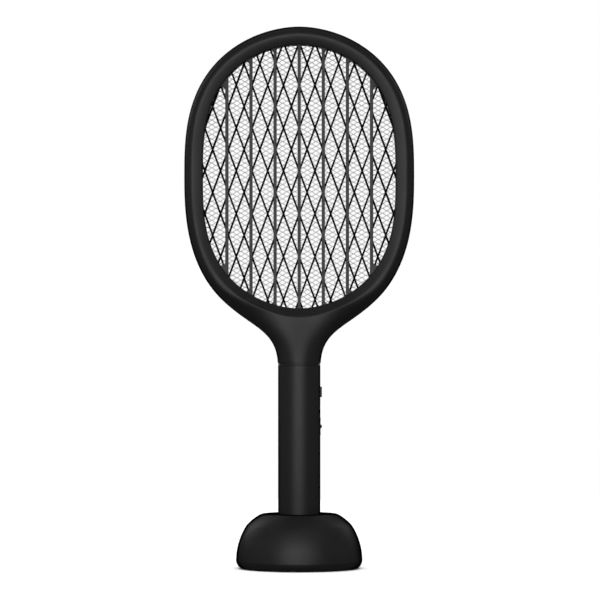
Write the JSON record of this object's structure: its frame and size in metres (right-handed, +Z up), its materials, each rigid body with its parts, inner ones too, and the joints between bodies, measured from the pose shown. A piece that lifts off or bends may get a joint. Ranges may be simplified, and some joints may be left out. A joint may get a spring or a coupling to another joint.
{
  "type": "electric fly swatter",
  "caption": "Racket-shaped electric insect swatter with ribbed guard frames and nets over a charged mesh, standing in its round charging base.",
  "frame": {"origin": "on the surface that the base stands on, under the axis of the grip", "axes": "+Z up along the grip, -Y towards the front of the head, +X towards the edge with the button and switch"},
  "size_m": [0.207, 0.1138, 0.4876],
  "materials": {
    "black_plastic": "matt, finely textured",
    "net_black": "satin",
    "mesh_silver": "bright",
    "steel": "plated",
    "contact": "bright",
    "rubber": "matt",
    "board_green": "satin",
    "inner_plastic": "matt",
    "cell_wrap": "gloss",
    "lens_clear": "clear"
  },
  "bodies": {
    "base": {"base_housing": "black_plastic", "docking_cup": "inner_plastic", "base_bottom_plate": "black_plastic", "ballast_weight": "steel", "charger_board": "board_green", "usb_c_port": "steel", "left_pin_barrel": "contact", "right_pin_barrel": "contact", "left_pin_spring": "steel", "right_pin_spring": "steel", "rubber_foot_1": "rubber", "rubber_foot_2": "rubber", "rubber_foot_3": "rubber", "rubber_foot_4": "rubber", "base_screw_1": "steel", "base_screw_2": "steel", "base_screw_3": "steel", "base_screw_4": "steel"},
    "racket": {"battery_cell": "cell_wrap", "battery_tab_negative": "contact", "battery_tab_positive": "contact", "centre_mesh": "mesh_silver", "centre_mesh_lead": "net_black", "end_cap_screw_1": "steel", "end_cap_screw_2": "steel", "front_diamond_net": "net_black", "front_net_lead": "net_black", "front_rib_frame": "black_plastic", "front_spacer_ring": "inner_plastic", "handle_end_cap": "black_plastic", "handle_sleeve": "black_plastic", "head_front_shell": "black_plastic", "head_rear_shell": "black_plastic", "head_screw_1": "steel", "head_screw_2": "steel", "head_screw_3": "steel", "head_screw_4": "steel", "indicator_led": "lens_clear", "indicator_lens": "lens_clear", "inner_chassis": "inner_plastic", "left_charge_pad": "contact", "main_board": "board_green", "mode_knob_bezel": "black_plastic", "power_button_spring": "steel", "push_switch_body": "inner_plastic", "rear_diamond_net": "net_black", "rear_net_lead": "net_black", "rear_rib_frame": "black_plastic", "rear_spacer_ring": "inner_plastic", "right_charge_pad": "contact", "slide_switch_body": "steel", "step_up_transformer": "inner_plastic", "storage_capacitor": "cell_wrap"},
    "power_button": {"power_button": "black_plastic", "push_switch_plunger": "inner_plastic"},
    "mode_knob": {"mode_knob": "black_plastic", "slide_switch_lever": "inner_plastic"},
    "left_charge_pin": {"left_charge_pin": "contact"},
    "right_charge_pin": {"right_charge_pin": "contact"}
  },
  "joints": [
    {"name": "racket_lift", "type": "slide", "parent": "base", "child": "racket", "axis": [0, 0, 1], "range_m": [0, 0.06]},
    {"name": "power_button_press", "type": "slide", "parent": "racket", "child": "power_button", "axis": [-1, 0, 0], "range_m": [0, 0.0012], "stiffness_N_per_m": 400, "springref_m": -0.002, "deforming": ["power_button_spring"]},
    {"name": "mode_switch_slide", "type": "slide", "parent": "racket", "child": "mode_knob", "axis": [0, 0, 1], "range_m": [-0.003, 0.003]},
    {"name": "left_pin_travel", "type": "slide", "parent": "base", "child": "left_charge_pin", "axis": [0, 0, 1], "range_m": [-0.0008, 0], "stiffness_N_per_m": 300, "springref_m": 0.002, "deforming": ["left_pin_spring"]},
    {"name": "right_pin_travel", "type": "slide", "parent": "base", "child": "right_charge_pin", "axis": [0, 0, 1], "range_m": [-0.0008, 0], "stiffness_N_per_m": 300, "springref_m": 0.002, "deforming": ["right_pin_spring"]}
  ]
}
